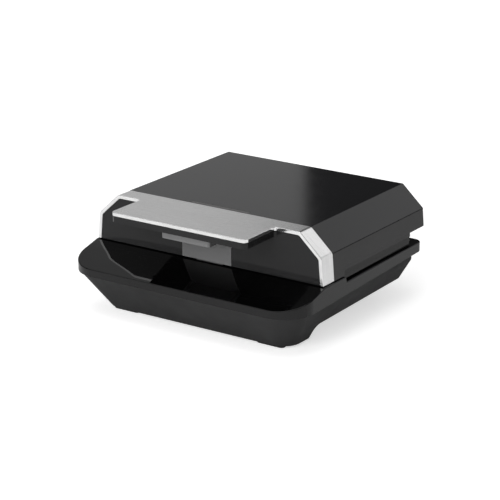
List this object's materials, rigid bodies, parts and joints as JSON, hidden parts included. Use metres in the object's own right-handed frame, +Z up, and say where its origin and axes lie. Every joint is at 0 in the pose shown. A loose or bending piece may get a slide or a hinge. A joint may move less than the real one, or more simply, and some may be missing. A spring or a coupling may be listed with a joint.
{
  "type": "breakfast sandwich maker",
  "caption": "Closed-lid sandwich maker with a brushed steel handle tongue, squeeze latch, hinged lid and two divided non-stick cooking plates.",
  "frame": {"origin": "middle of the footprint at the table, bottom of the feet", "axes": "+X to the right seen from the front, +Y from the handle towards the hinge, +Z up"},
  "size_m": [0.26, 0.237, 0.1076],
  "materials": {
    "satin_black": "satin moulded black",
    "gloss_black": "glossy moulded black",
    "cover_black": "glossy moulded black",
    "frame_black": "satin moulded black",
    "fascia_black": "glossy moulded black",
    "nonstick": "dark non-stick coating on cast aluminium",
    "heater_sheath": "drawn tube, heat-tinted",
    "shield_steel": "aluminised sheet",
    "thermostat_case": "phenolic",
    "terminal_plastic": "natural nylon",
    "gland_rubber": "matt",
    "foot_rubber": "matt",
    "zinc_screw": "zinc plated",
    "spring_steel": "bright spring steel",
    "pin_steel": "ground",
    "brushed_trim": "brushed along the sheet",
    "fuse_sleeve": "plain",
    "smoked_window": "smoked translucent",
    "lamp_glass": "clear",
    "latch_grey": "mid-grey satin"
  },
  "bodies": {
    "base": {"base_shell": "satin_black", "base_bezel": "gloss_black", "lower_plate": "nonstick", "lower_element": "heater_sheath", "lower_heat_shield": "shield_steel", "thermostat": "thermostat_case", "terminal_block": "terminal_plastic", "cord_gland": "gland_rubber", "front_feet": "foot_rubber", "rear_feet": "foot_rubber", "plate_screws": "zinc_screw", "rim_screws": "zinc_screw", "latch_keeper": "spring_steel", "hinge_pins": "pin_steel"},
    "lid": {"lid_top_cover": "cover_black", "lid_frame": "frame_black", "fascia": "fascia_black", "steel_trim": "brushed_trim", "upper_plate": "nonstick", "upper_element": "heater_sheath", "upper_heat_shield": "shield_steel", "thermal_fuse": "fuse_sleeve", "upper_plate_screws": "zinc_screw", "shield_screws": "zinc_screw", "lid_screws": "zinc_screw", "indicator_window": "smoked_window", "pilot_lamps": "lamp_glass", "latch_pin": "pin_steel", "latch_springs": "spring_steel"},
    "latch": {"latch_lever": "latch_grey"}
  },
  "joints": [
    {"name": "lid_hinge", "type": "hinge", "parent": "base", "child": "lid", "pos_m": [0, 0.107, 0.0625], "axis": [-1, 0, 0], "range_deg": [0, 96], "deforming": ["latch_keeper"]},
    {"name": "latch_squeeze", "type": "hinge", "parent": "lid", "child": "latch", "pos_m": [0, -0.064, 0.0915], "axis": [-1, 0, 0], "range_deg": [0, 4.5], "stiffness_Nm_per_rad": 0.6, "springref_deg": -6.88, "deforming": ["latch_springs"]}
  ]
}
